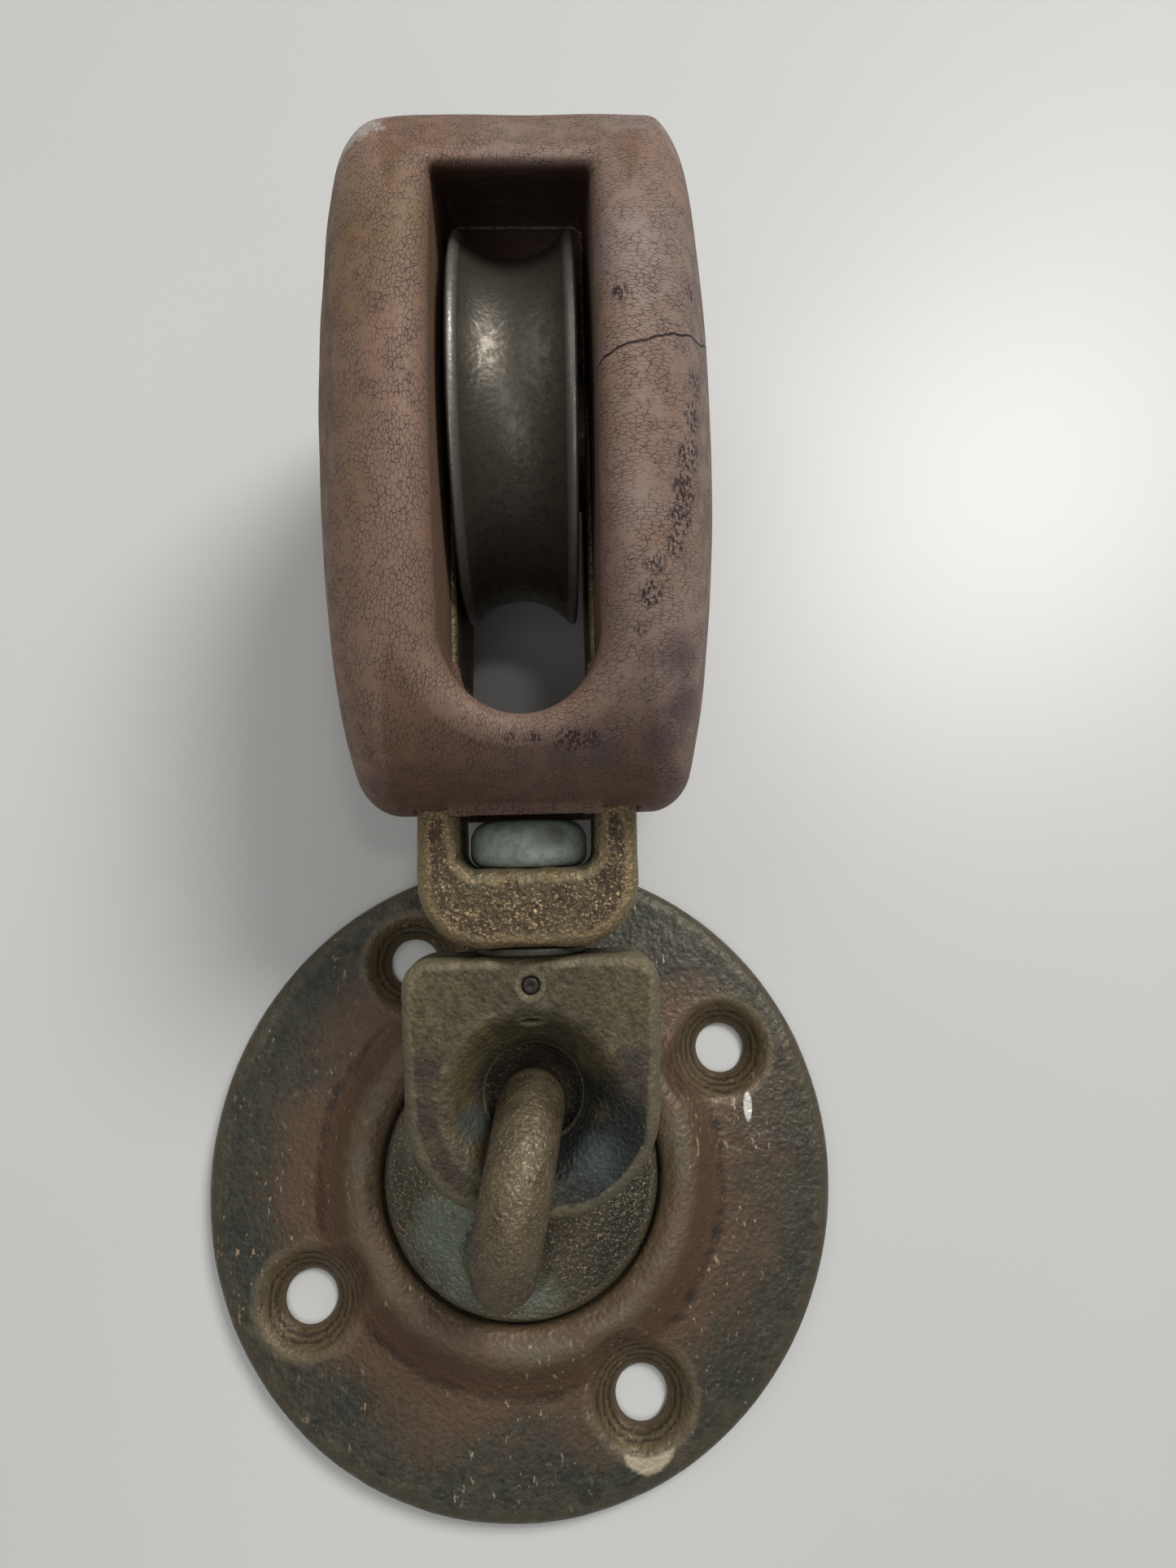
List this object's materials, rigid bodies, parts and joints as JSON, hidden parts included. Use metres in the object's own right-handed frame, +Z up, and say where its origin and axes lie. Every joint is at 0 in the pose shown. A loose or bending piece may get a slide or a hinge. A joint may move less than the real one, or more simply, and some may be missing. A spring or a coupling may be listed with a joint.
{
  "type": "swivel deck block",
  "caption": "Rubber-shelled sheave block on a bronze strap, swivel stud and eye link, hung from a swivelling bail eye in a round countersunk deck plate.",
  "frame": {"origin": "centre of the base plate's underside, where it sits on the deck", "axes": "+Z up out of the deck plate; +Y from the plate towards the block as it lies at rest; +X to the right seen from above"},
  "size_m": [0.1016, 0.206, 0.0766],
  "materials": {
    "plate_bronze": "weathered sand-cast bronze, brown and grey-olive patina",
    "eye_bronze": "sand-cast bronze with verdigris",
    "link_bronze": "sand-cast bronze, olive-brown patina",
    "stud_bronze": "bronze with grey-green patina",
    "strap_bronze": "sand-cast bronze, golden-brown",
    "washer_bronze": "dull bronze sheet",
    "disc_bronze": "dull bronze sheet",
    "pin_bronze": "dark bronze wire",
    "axle_bronze": "turned bronze, tarnished",
    "bush_bronze": "bearing bronze",
    "sheave_bronze": "dark satin bronze, worn at the rims",
    "shell_rubber": "aged mauve-brown rubber, finely crazed"
  },
  "bodies": {
    "base": {"base_plate": "plate_bronze", "eye_bearing_washer": "washer_bronze", "eye_retaining_disc": "disc_bronze"},
    "eye": {"swivel_eye": "eye_bronze"},
    "link": {"eye_link": "link_bronze", "swivel_stud": "stud_bronze", "stud_locking_pin": "pin_bronze", "stud_washer": "washer_bronze"},
    "block": {"strap": "strap_bronze", "rubber_shell": "shell_rubber", "left_thrust_washer": "washer_bronze", "right_thrust_washer": "washer_bronze", "left_cheek_washer": "washer_bronze", "right_cheek_washer": "washer_bronze", "axle_pin": "axle_bronze", "axle_cap_nut": "axle_bronze"},
    "sheave": {"sheave": "sheave_bronze", "sheave_bush": "bush_bronze"}
  },
  "joints": [
    {"name": "eye_swivel", "type": "hinge", "parent": "base", "child": "eye", "pos_m": [0, 0, 0.003], "axis": [0, 0, 1], "continuous": true},
    {"name": "link_swing", "type": "hinge", "parent": "eye", "child": "link", "pos_m": [0, 0, 0.0205], "axis": [0.9863, -0.165, 0], "range_deg": [0, 160]},
    {"name": "block_swivel", "type": "hinge", "parent": "link", "child": "block", "pos_m": [0.00155, 0.04085, 0.02759], "axis": [-0.0241, 0.9851, 0.1702], "continuous": true},
    {"name": "sheave_spin", "type": "hinge", "parent": "block", "child": "sheave", "pos_m": [-0.00052, 0.11128, 0.03976], "axis": [0.9997, 0.0244, 0], "continuous": true}
  ]
}
